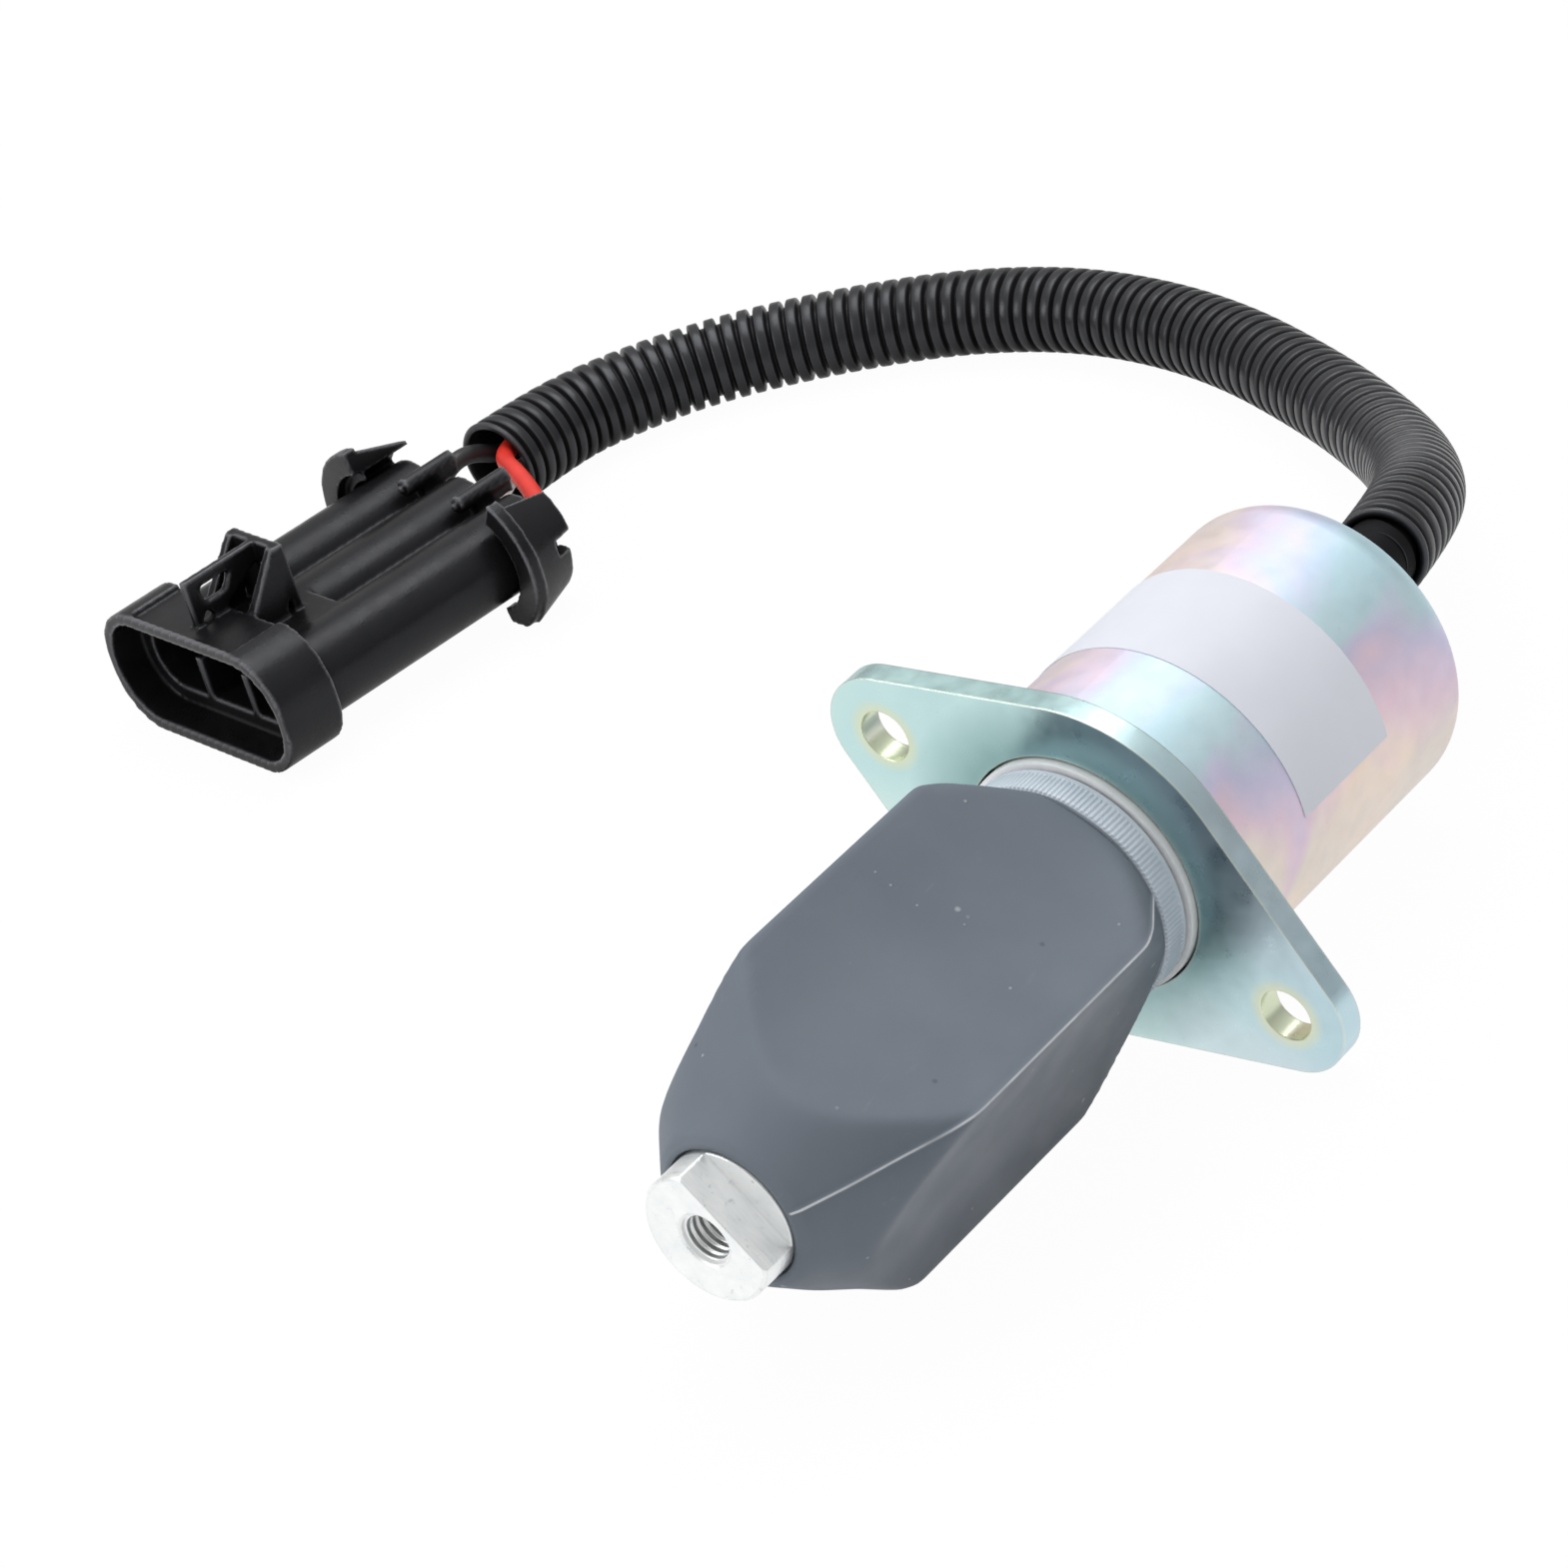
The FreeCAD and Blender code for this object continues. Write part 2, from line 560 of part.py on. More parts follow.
def clip_sector(side, x0, x1, angles, step=8):
    """Wedge about an end barrel's axis, from angle to angle, far wider than the clip."""
    far = 4 * BARREL_PITCH
    y = side * BARREL_PITCH
    count = max(1, round((angles[1] - angles[0]) / step))
    points = [V(x0, y, BARREL_H)]
    for i in range(count + 1):
        a = math.radians(angles[0] + (angles[1] - angles[0]) * i / count)
        points.append(V(x0, y + side * far * math.cos(a), BARREL_H + far * math.sin(a)))
    return Part.Face(Part.makePolygon(points + [points[0]])).extrude(V(x1 - x0, 0, 0))


def lock_clip(side):
    """Crescent plate, coned drum over the barrel's outer top, and a lobe below a notch."""
    y = side * BARREL_PITCH
    centre_y, centre_z = y + side * CRESCENT_SHIFT[0], BARREL_H + CRESCENT_SHIFT[1]
    x0, x1 = CRESCENT_X
    plate = cylinder(x0, x1, CRESCENT_R[1], y=centre_y, z=centre_z)
    plate = plate.cut(cylinder(x0 - 1, x1 + 1, CRESCENT_R[0], y=centre_y, z=centre_z))
    clip = plate.common(clip_sector(side, x0 - 1, x1 + 1, CRESCENT_ANGLES[side]))
    cone = Part.makeCone(DRUM_R[0], DRUM_R[1], x0 + 0.5 - DRUM_X, V(DRUM_X, y, BARREL_H), X_AXIS)
    drum = DRUM_ANGLES[side]
    bridge = (LOBE_ANGLES[1] - 2, drum[0] + 2)
    for start, angles in ((DRUM_X, drum), (LOBE_X, LOBE_ANGLES), (BRIDGE_X, bridge)):
        clip = clip.fuse(cone.common(clip_sector(side, start, x0 + 1, angles)))
    clip = clip.cut(cylinder(DRUM_X - 1, x0 + 0.5, CLIP_BORE_R, y=y, z=BARREL_H))
    wide = cylinder(DRUM_X - 1, x0, DRUM_BORE_R, y=y, z=BARREL_H)
    clip = clip.cut(wide.common(clip_sector(side, DRUM_X - 1, x0, (DRUM_BORE_ANGLE, drum[1] + 10))))
    below = Part.makeBox(2 * BARREL_PITCH, 4 * BARREL_PITCH, BARREL_PITCH,
                         V(DRUM_X - 1, y - 2 * BARREL_PITCH, 0.1 - BARREL_PITCH))
    return placed(clip.cut(below).removeSplitter())


def terminal(i):
    """Pin in the mouth, body in the channel, crimp on the lead."""
    y = i * BARREL_PITCH
    pin = cylinder(-MOUTH_DEPTH - 0.1, PIN_TIP_X, PIN_R, y=y, z=BARREL_H)
    tip = [e for e in pin.Edges if e.BoundBox.XMin > PIN_TIP_X - 0.01]
    pin = pin.makeChamfer(0.45, tip)
    pin = pin.fuse(cylinder(-37.6, -MOUTH_DEPTH - 0.1, CHANNEL_R - STATIC, y=y, z=BARREL_H))
    return placed(pin.fuse(cylinder(-46.4, -37.6, 1.2, y=y, z=BARREL_H)).removeSplitter())


def seal(i):
    """Ribbed cable seal between the lead and its bore."""
    y = i * BARREL_PITCH
    body = cylinder(BARREL_REAR + 0.6, BARREL_REAR + 6.6, SEAL_BORE_R - 0.5, y=y, z=BARREL_H)
    for k in range(3):
        x = BARREL_REAR + 1.1 + 2.0 * k
        body = body.fuse(cylinder(x, x + 1.0, SEAL_BORE_R - STATIC, y=y, z=BARREL_H))
    return placed(body.cut(cylinder(-60, -30, LEAD_HOLE_R, y=y, z=BARREL_H)))


def nodes():
    return {
        "mounting_flange": mounting_flange,
        "can": can,
        "front_pole": front_pole,
        "guide_tube": guide_tube,
        "bobbin": bobbin,
        "pull_winding": lambda: winding(WINDING_R, PULL_R),
        "hold_winding": lambda: winding(PULL_R + STATIC, HOLD_R),
        "winding_tape": lambda: winding(HOLD_R + STATIC, HOLD_R + STATIC + TAPE_T),
        "rear_pole": rear_pole,
        "rear_potting": rear_potting,
        "rear_grommet": rear_grommet,
        "label": label,
        "plunger": plunger,
        "spring_seat": spring_seat,
        "retaining_ring": retaining_ring,
        "return_spring": return_spring,
        "boot": boot,
        "boot_tie": boot_tie,
        "loom": loom,
        "lead_red": lambda: lead(LEAD_STEP, WAY_RED, 1),
        "lead_white": lambda: lead(-LEAD_STEP, WAY_WHITE, 0),
        "lead_black": lambda: lead(0.0, WAY_BLACK, -1),
        "connector_shell": connector_shell,
        "lock_clip_left": lambda: lock_clip(-1),
        "lock_clip_right": lambda: lock_clip(1),
        "terminal_left": lambda: terminal(-1),
        "terminal_mid": lambda: terminal(0),
        "terminal_right": lambda: terminal(1),
        "seal_left": lambda: seal(-1),
        "seal_mid": lambda: seal(0),
        "seal_right": lambda: seal(1),
    }


def main():
    os.makedirs("parts", exist_ok=True)
    for name, make in nodes().items():
        shape = make()
        ok = shape.isValid()
        solids = shape.Solids
        if len(solids) == 1:
            shape = solids[0]
        box = shape.BoundBox
        print("%-16s %s solids %d volume %.0f  x %.1f..%.1f y %.1f..%.1f z %.2f..%.2f" % (
            name, "ok" if ok else "INVALID", len(solids), shape.Volume,
            box.XMin, box.XMax, box.YMin, box.YMax, box.ZMin, box.ZMax))
        shape.exportStep("parts/%s.step" % name)


main()
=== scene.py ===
import math
import bmesh
import bpy
import numpy as np
from mathutils import Matrix, Vector


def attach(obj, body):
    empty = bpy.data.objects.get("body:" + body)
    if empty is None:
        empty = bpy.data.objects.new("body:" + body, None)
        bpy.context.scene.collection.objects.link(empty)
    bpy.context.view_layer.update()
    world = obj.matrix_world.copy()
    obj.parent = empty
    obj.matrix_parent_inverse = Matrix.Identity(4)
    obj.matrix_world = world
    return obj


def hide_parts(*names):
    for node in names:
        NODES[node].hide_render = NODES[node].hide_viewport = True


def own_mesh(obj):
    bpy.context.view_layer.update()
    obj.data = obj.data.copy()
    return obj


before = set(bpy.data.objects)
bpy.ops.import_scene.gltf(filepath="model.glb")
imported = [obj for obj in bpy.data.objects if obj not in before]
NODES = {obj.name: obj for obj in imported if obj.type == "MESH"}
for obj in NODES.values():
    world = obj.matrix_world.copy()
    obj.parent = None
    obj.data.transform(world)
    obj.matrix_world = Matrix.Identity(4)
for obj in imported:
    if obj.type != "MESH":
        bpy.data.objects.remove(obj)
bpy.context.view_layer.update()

MM = 0.001

# Height of the floor, in millimetres
FLOOR = -22.12

# Places on the solids that the materials follow
HOLE_AWAY = 28.0 * MM
HOLE_ANGLE = math.radians(-31.0)
HOLE_PLACE = (HOLE_AWAY * math.cos(HOLE_ANGLE), HOLE_AWAY * math.sin(HOLE_ANGLE))
CAN_REAR_X = -51.6 * MM
CAN_ACROSS = 27.6 * MM
THREAD_PITCH = 1.0 * MM
THREAD_REACH = 3.3 * MM


def place_object(name, data):
    obj = bpy.data.objects.new(name, data)
    bpy.context.scene.collection.objects.link(obj)
    return obj


# Camera: the photograph's place and axes

EYE = Vector((0.39171, 0.37336, 0.33096))
RIGHT = Vector((-0.59655, 0.76142, -0.25371))
DOWN = Vector((0.53799, 0.14480, -0.83042))
FORWARD = Vector((-0.59556, -0.63189, -0.49602))
FOCAL_SHARE = 5679.5 / 1569
SENSOR = 36.0


def make_camera():
    data = bpy.data.cameras.new("camera")
    data.sensor_width = SENSOR
    data.lens = SENSOR * FOCAL_SHARE
    data.clip_start = 0.01
    data.clip_end = 10.0
    camera = place_object("camera", data)
    axes = Matrix((RIGHT, -DOWN, -FORWARD)).transposed()
    camera.matrix_world = Matrix.Translation(EYE) @ axes.to_4x4()
    bpy.context.scene.camera = camera


# Mesh helpers

def add_object(name, verts, faces, smooth=True):
    mesh = bpy.data.meshes.new(name)
    mesh.from_pydata([tuple(v) for v in verts], [], faces)
    mesh.validate()
    mesh.update()
    if smooth:
        mesh.shade_smooth()
    return place_object(name, mesh)


def ring_faces(rings, count, closed=False):
    """Quads between rings of count points; closed joins the last ring to the first."""
    faces = []
    last = rings if closed else rings - 1
    for i in range(last):
        a, b = i * count, ((i + 1) % rings) * count
        for j in range(count):
            k = (j + 1) % count
            faces.append((a + j, a + k, b + k, b + j))
    return faces


def finished_mesh(obj):
    """The object's mesh with its modifiers or its bevel worked in."""
    graph = bpy.context.evaluated_depsgraph_get()
    return bpy.data.meshes.new_from_object(obj.evaluated_get(graph))


def set_points(mesh, name, values):
    """Number for each point of the mesh, which a material reads by its name."""
    layer = mesh.attributes.new(name, "FLOAT", "POINT")
    layer.data.foreach_set("value", np.asarray(values, dtype=np.float32))


def set_material(obj, material):
    obj.data.materials.clear()
    obj.data.materials.append(material)


def dress(obj, material, node):
    """Puts the piece on the solenoid's body in the place of a node."""
    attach(obj, "solenoid")
    set_material(obj, material)
    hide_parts(node)
    return obj


# Material helpers

def feed(tree, value, socket):
    """Links a node's output to the socket, or sets the socket to a value."""
    if isinstance(value, bpy.types.NodeSocket):
        tree.links.new(value, socket)
    else:
        socket.default_value = value


def add_node(tree, kind, inputs=(), **settings):
    made = tree.nodes.new(kind)
    for key, value in settings.items():
        setattr(made, key, value)
    for key, value in dict(inputs).items():
        feed(tree, value, made.inputs[key])
    return made


class Shader:
    """A Principled material and short calls to wire its nodes."""

    def __init__(self, name, **sockets):
        self.material = bpy.data.materials.new(name)
        self.material.use_nodes = True
        self.tree = self.material.node_tree
        self.principled = self.tree.nodes["Principled BSDF"]
        for key, value in sockets.items():
            self.principled.inputs[key.replace("_", " ")].default_value = value
        self.place = self.tree.nodes.new("ShaderNodeTexCoord").outputs["Object"]

    def node(self, kind, inputs=(), **settings):
        return add_node(self.tree, kind, inputs, **settings)

    def noise(self, scale, detail=3.0, roughness=0.5, stretch=None, distortion=0.0):
        vector = self.place
        if stretch:
            mapping = self.node("ShaderNodeMapping", {"Vector": vector, "Scale": stretch})
            vector = mapping.outputs["Vector"]
        made = self.node("ShaderNodeTexNoise", {"Vector": vector, "Scale": scale, "Detail": detail,
                                                "Roughness": roughness, "Distortion": distortion})
        return made.outputs["Fac"]

    def ramp(self, value, stops):
        made = self.node("ShaderNodeValToRGB", {"Fac": value})
        elements = made.color_ramp.elements
        while len(elements) < len(stops):
            elements.new(0.5)
        for element, (place, colour) in zip(elements, stops):
            element.position = place
            element.color = (*colour, 1.0)
        return made.outputs["Color"]

    def math(self, operation, a, b=0.0, c=0.0):
        return self.node("ShaderNodeMath", {0: a, 1: b, 2: c}, operation=operation).outputs[0]

    def span(self, value, low, high, to_low=0.0, to_high=1.0):
        made = self.node("ShaderNodeMapRange", {"Value": value, "From Min": low, "From Max": high,
                                                "To Min": to_low, "To Max": to_high})
        return made.outputs["Result"]

    def mix(self, factor, a, b, blend="MIX"):
        made = self.node("ShaderNodeMix", {0: factor}, data_type="RGBA", blend_type=blend)
        for value, index in ((a, 6), (b, 7)):
            if isinstance(value, tuple):
                value = (*value, 1.0)
            feed(self.tree, value, made.inputs[index])
        return made.outputs[2]

    def parts(self, vector):
        return tuple(self.node("ShaderNodeSeparateXYZ", {0: vector}).outputs)

    def mark(self, name):
        """Number stored on the mesh's points."""
        return self.node("ShaderNodeAttribute", attribute_name=name).outputs["Fac"]

    def bump(self, height, distance, strength=1.0, under=None):
        inputs = {"Height": height, "Distance": distance, "Strength": strength}
        if under:
            inputs["Normal"] = under
        return self.node("ShaderNodeBump", inputs).outputs["Normal"]

    def wire(self, **sockets):
        for key, value in sockets.items():
            feed(self.tree, value, self.principled.inputs[key.replace("_", " ")])
        return self.material


# Materials

CAVITY_REACH = 12.0 * MM
FINE_GRAIN = 0.04 * MM
METAL_GRAIN = 0.06 * MM
CAN_COLOURS = [(0.0, (0.84, 0.72, 0.67)), (0.12, (0.77, 0.65, 0.74)), (0.25, (0.62, 0.67, 0.79)),
               (0.45, (0.57, 0.74, 0.78)), (0.66, (0.58, 0.74, 0.78)), (0.76, (0.68, 0.64, 0.8)),
               (0.87, (0.83, 0.65, 0.73)), (1.0, (0.87, 0.76, 0.67))]
FLANGE_COLOURS = [(0.25, (0.46, 0.68, 0.68)), (0.5, (0.58, 0.79, 0.78)),
                  (0.62, (0.66, 0.82, 0.78)), (0.8, (0.74, 0.82, 0.72))]


def black_plastic(name, shade, roughness, grain=2500.0, gloss=0.3, edge_highlight=0.0):
    """Black mouldings; the last argument is the shade of a painted highlight along their outer
    edges, and the gloss in cavities is dimmed as painted shade.
    """
    s = Shader(name, Specular_IOR_Level=gloss, Specular_Tint=(0.92, 0.94, 1.0, 1.0))
    cloud = s.noise(180.0, 4.0)
    colour = s.ramp(cloud, [(0.3, (shade * 0.8, shade * 0.8, shade * 0.88)),
                            (0.75, (shade * 1.25, shade * 1.26, shade * 1.4))])
    if edge_highlight:
        reach = {"Distance": CAVITY_REACH}
        open_air = s.node("ShaderNodeAmbientOcclusion", reach, samples=6).outputs["AO"]
        # Lighter outer edges, kept away from cavities, are a painted highlight.
        outer = s.math("MULTIPLY", s.mark("edge"), s.span(open_air, 0.45, 0.75))
        colour = s.mix(outer, colour, (edge_highlight, edge_highlight, edge_highlight * 1.08))
        # Gloss dimmed in cavities is painted shade.
        s.wire(Specular_IOR_Level=s.span(open_air, 0.4, 0.8, gloss * 0.1, gloss))
    rough = s.span(s.noise(420.0, 5.0), 0.3, 0.7, roughness - 0.05, roughness + 0.07)
    normal = s.bump(s.noise(grain, 2.0), FINE_GRAIN, 0.5)
    return s.wire(Base_Color=colour, Roughness=rough, Normal=normal)


def insulation(name, colour, roughness=0.42):
    """Smooth coloured plastic, rubber or enamel."""
    s = Shader(name)
    dark = tuple(c * 0.8 for c in colour)
    tint = s.ramp(s.noise(260.0, 4.0), [(0.3, dark), (0.7, colour)])
    rough = s.span(s.noise(600.0, 3.0), 0.3, 0.7, roughness - 0.06, roughness + 0.08)
    normal = s.bump(s.noise(1800.0, 2.0), FINE_GRAIN, 0.4)
    return s.wire(Base_Color=tint, Roughness=rough, Normal=normal)


def specks(s, scale, rarity, low, high):
    """Sparse round specks as a mask."""
    dots = s.node("ShaderNodeTexVoronoi", {"Vector": s.place, "Scale": scale, "Randomness": 1.0},
                  feature="F1")
    pick = s.math("GREATER_THAN", s.parts(dots.outputs["Color"])[0], rarity)
    return s.math("MULTIPLY", pick, s.span(dots.outputs["Distance"], low, high, 1.0, 0.0))


def boot_rubber():
    """Grey-blue rubber with light dust, dark specks, smears and a pale painted highlight along the
    mould fin.
    """
    s = Shader("boot_rubber", Specular_IOR_Level=0.22, Specular_Tint=(0.8, 0.9, 1.0, 1.0))
    base = s.ramp(s.noise(45.0, 5.0), [(0.3, (0.124, 0.142, 0.168)), (0.72, (0.148, 0.169, 0.197))])
    dust = s.math("MAXIMUM", specks(s, 230.0, 0.82, 0.05, 0.11), specks(s, 520.0, 0.9, 0.06, 0.14))
    base = s.mix(s.math("MULTIPLY", dust, 0.45), base, (0.5, 0.52, 0.55))
    dirt = s.math("MULTIPLY", specks(s, 300.0, 0.95, 0.05, 0.12), 0.5)
    base = s.mix(dirt, base, (0.05, 0.055, 0.06))
    smear = s.span(s.noise(420.0, 6.0, 0.7, stretch=(0.3, 1.0, 1.0)), 0.64, 0.8, 0.0, 0.2)
    base = s.mix(smear, base, (0.3, 0.32, 0.35))
    # The pale line along the mould fin, uneven along its length, is a painted highlight.
    uneven = s.span(s.noise(160.0, 3.0), 0.35, 0.65, 0.35, 0.9)
    flash_highlight = s.math("MULTIPLY", s.span(s.mark("flash_highlight"), 0.45, 0.85), uneven)
    base = s.mix(flash_highlight, base, (0.55, 0.57, 0.6))
    rough = s.span(s.noise(160.0, 4.0), 0.3, 0.7, 0.48, 0.6)
    fine = s.bump(s.noise(3000.0, 2.0), FINE_GRAIN, 0.5)
    normal = s.bump(dust, 0.12 * MM, 0.8, fine)
    return s.wire(Base_Color=base, Roughness=rough, Normal=normal)


def edge_normal(s, radius):
    """Normal rounded over sharp edges."""
    return s.node("ShaderNodeBevel", {"Radius": radius}).outputs["Normal"]


def bright_edges(s, radius):
    """Mask of the narrow zone along sharp edges."""
    bevel = s.node("ShaderNodeBevel", {"Radius": radius})
    plain = s.node("ShaderNodeNewGeometry")
    dot = s.node("ShaderNodeVectorMath", {0: bevel.outputs["Normal"], 1: plain.outputs["Normal"]},
                 operation="DOT_PRODUCT").outputs["Value"]
    return s.span(dot, 0.8, 0.995, 1.0, 0.0)


def from_axis(s, y=0.0, z=0.0):
    """Distance from a line along X."""
    kind = "ShaderNodeVectorMath"
    place = s.node(kind, {0: s.place, 1: (0.0, y, z)}, operation="SUBTRACT")
    flat = s.node(kind, {0: place.outputs[0], 1: (0.0, 1.0, 1.0)}, operation="MULTIPLY")
    return s.node(kind, {0: flat.outputs[0]}, operation="LENGTH").outputs["Value"]


def plated(s, tint, roughness, marks=0.22):
    """Grime, scratches and a slightly wavy skin on zinc plate."""
    grime = s.span(s.noise(900.0, 6.0, 0.7), 0.62, 0.78, 0.0, marks)
    tint = s.mix(grime, tint, (0.3, 0.32, 0.3))
    scratch = s.span(s.noise(500.0, 8.0, 0.75, stretch=(0.15, 1.0, 1.0)), 0.68, 0.74, 0.0, marks)
    tint = s.mix(scratch, tint, (0.25, 0.27, 0.28))
    rough = s.span(s.noise(320.0, 5.0), 0.3, 0.7, roughness - 0.06, roughness + 0.08)
    normal = s.bump(s.noise(700.0, 5.0, 0.6), METAL_GRAIN, 0.3, edge_normal(s, 0.3 * MM))
    return s.wire(Base_Color=tint, Roughness=rough, Normal=normal)


def can_zinc():
    """Bright zinc plate whose pastel interference colours change round the can."""
    s = Shader("can_zinc", Metallic=0.85)
    x, y, z = s.parts(s.place)
    round_can = s.span(s.math("SUBTRACT", y, z), -CAN_ACROSS, CAN_ACROSS)
    patches = s.math("MULTIPLY_ADD", s.noise(34.0, 3.0, 0.55, distortion=0.8), 1.1, round_can)
    patches = s.math("ADD", patches, s.span(x, CAN_REAR_X, 0.0, -0.08, 0.2))
    tint = s.ramp(s.span(patches, 0.55, 1.55), CAN_COLOURS)
    cloud = s.ramp(s.noise(85.0, 4.0, 0.6), [(0.35, (0.88, 0.93, 0.97)), (0.65, (1.0, 0.98, 0.98))])
    tint = s.mix(1.0, tint, cloud, "MULTIPLY")
    return plated(s, tint, 0.54)


def flange_zinc():
    """Pale green plate, bluer towards +Y, with painted shade round the bore, yellowish at the hole
    rims, and a painted yellowish highlight along the edges.
    """
    s = Shader("flange_zinc", Metallic=1.0)
    tint = s.ramp(s.noise(26.0, 3.0, 0.55, distortion=0.6), FLANGE_COLOURS)
    low_end = s.span(s.parts(s.place)[1], -5.0 * MM, 30.0 * MM, 0.0, 0.75)
    blue = s.ramp(s.noise(40.0, 3.0), [(0.35, (0.52, 0.68, 0.76)), (0.65, (0.63, 0.66, 0.79))])
    tint = s.mix(low_end, tint, blue)
    # Darker round the bore is painted shade in the corners under the boot and at the can's foot.
    middle = s.span(from_axis(s), 16.5 * MM, 24.0 * MM, 0.62, 0.0)
    tint = s.mix(middle, tint, (0.12, 0.25, 0.25))
    for side in (-1, 1):
        away = from_axis(s, side * HOLE_PLACE[0], side * HOLE_PLACE[1])
        rim = s.span(away, 3.4 * MM, 5.0 * MM, 0.75, 0.0)
        tint = s.mix(rim, tint, (0.74, 0.76, 0.5))
    # Lighter yellowish edges are a painted highlight.
    edges = s.math("MULTIPLY", bright_edges(s, 0.5 * MM), 0.55)
    return plated(s, s.mix(edges, tint, (0.88, 0.88, 0.7)), 0.3, 0.3)


def plunger_steel():
    """Bright plate with tool lines; the thread shows in the tapped hole."""
    s = Shader("plunger_steel", Metallic=0.75)
    lines = s.noise(300.0, 7.0, 0.65, stretch=(5.0, 1.0, 1.0))
    tint = s.ramp(lines, [(0.3, (0.86, 0.89, 0.89)), (0.6, (0.97, 0.98, 0.98))])
    dent = s.span(s.noise(700.0, 8.0, 0.75), 0.59, 0.68, 0.0, 0.55)
    tint = s.mix(dent, tint, (0.4, 0.42, 0.43))
    inside = s.math("LESS_THAN", from_axis(s), THREAD_REACH)
    along = s.math("MULTIPLY", s.parts(s.place)[0], 2 * math.pi / THREAD_PITCH)
    thread = s.math("MULTIPLY", s.math("SINE", along), inside)
    ridged = s.bump(thread, 0.3 * MM, 1.0, edge_normal(s, 0.4 * MM))
    normal = s.bump(lines, 0.12 * MM, 0.6, ridged)
    return s.wire(Base_Color=tint, Roughness=s.span(lines, 0.3, 0.7, 0.26, 0.42), Normal=normal)


def plain_metal(name, colour, roughness, metallic=1.0):
    s = Shader(name, Metallic=metallic)
    cloud = s.noise(300.0, 6.0, 0.6)
    tint = s.ramp(cloud, [(0.3, tuple(c * 0.86 for c in colour)), (0.7, colour)])
    rough = s.span(cloud, 0.3, 0.7, roughness - 0.06, roughness + 0.1)
    normal = s.bump(cloud, METAL_GRAIN, 0.4, edge_normal(s, 0.25 * MM))
    return s.wire(Base_Color=tint, Roughness=rough, Normal=normal)


def label_film():
    s = Shader("label_film")
    tint = s.ramp(s.noise(60.0, 4.0), [(0.3, (0.6, 0.62, 0.68)), (0.75, (0.66, 0.68, 0.74))])
    rough = s.span(s.noise(500.0, 3.0), 0.3, 0.7, 0.34, 0.46)
    normal = s.bump(s.noise(240.0, 3.0), 0.05 * MM, 0.3)
    return s.wire(Base_Color=tint, Roughness=rough, Normal=normal)


def tie_nylon():
    s = Shader("tie_nylon", Roughness=0.4)
    tint = s.ramp(s.noise(200.0), [(0.3, (0.52, 0.58, 0.65)), (0.7, (0.62, 0.68, 0.74))])
    return s.wire(Base_Color=tint)


# Loom and leads, in millimetres; a way's points are in the connector's own frame

EXIT_Y, EXIT_Z = -1.3, 2.4
LOOM_ROUTE = [(-65.0, EXIT_Y, EXIT_Z), (-77.0, -4.8, 0.6), (-92.2, -14.7, -5.6),
              (-109.5, -31.0, -12.6), (-124.8, -52.9, -16.1), (-135.3, -77.3, -16.1),
              (-138.8, -100.3, -16.1), (-135.4, -119.2, -16.1), (-126.2, -136.9, -16.1),
              (-114.4, -152.2, -16.1), (-101.0, -161.4, -16.0), (-91.0, -164.5, -15.8),
              (-80.7, -164.8, -15.4)]
LOOM_SIDES = 56
LOOM_WALL = 0.9
# How far the end rims are rounded, and the skin that is left under a groove
LOOM_LIP = 0.25
# (share of the length, crest radius)
LOOM_GROWTH = [(0.0, 5.85), (0.86, 6.0), (0.93, 6.18), (0.97, 6.42), (1.0, 6.6)]
# (share of the ribs, share of the length), wider through the bend by the can
RIB_SPREAD = [(0.0, 0.0), (0.08, 0.08), (0.16, 0.173), (0.28, 0.335), (0.38, 0.44), (1.0, 1.0)]
RIB_PITCH = 2.6
RIB_DEPTH = 1.05
# (share of the pitch, share of the depth, edge mark, which places a painted highlight)
RIB_SHAPE = [(0.22, 0.0, 0.0), (0.28, 0.05, 0.9), (0.33, 0.28, 0.5), (0.38, 1.0, 0.0),
             (0.62, 1.0, 0.0), (0.67, 0.28, 0.5), (0.72, 0.05, 0.9), (0.78, 0.0, 0.0)]
# A thin dark sheet in the can's exit, painted shade that hides the leads in the loom's mouth: its
# line begins this far before the loom's, and
# (distance along it, radius)
SHADE_SHEET_STARTS = 3.0
SHADE_SHEET = [(0.5, 4.15), (9.0, 4.15), (9.0, 4.12), (0.5, 4.12)]
LEAD_R = 1.3
LEAD_SIDES = 24
LEAD_STATIONS = 360
LEAD_STEP = 2.78
LEAD_START = (-47.0, EXIT_Y, EXIT_Z)
LEAD_IN_BARREL = 3.5
BARREL_H = 8.7
BARREL_PITCH = 12.0
BARREL_REAR = -50.0
CONN_PLACE = Vector((-16.84, -163.97, FLOOR))
CONN_TURN = math.radians(-9.74)
CONN = Matrix.Translation(CONN_PLACE * MM) @ Matrix.Rotation(CONN_TURN, 4, "Z")
# (barrel, level in the loom, points from the loom's end to the barrel)
WAYS = {
    "lead_red": (1, 1, [(-66.0, -10.8, 8.9), (-62.0, -8.6, 9.0), (-59.4, -1.6, 9.7),
                        (-56.6, 5.2, 9.6), (-52.9, 12.0, BARREL_H)]),
    "lead_white": (0, -1, [(-65.5, -12.4, 3.9), (-59.0, -6.0, 6.2), (-53.5, 0.0, BARREL_H)]),
    "lead_black": (-1, 0, [(-65.2, -13.4, 6.8), (-60.2, -12.6, 10.2), (-56.1, -12.0, 10.8),
                           (-52.9, -12.0, BARREL_H)]),
}


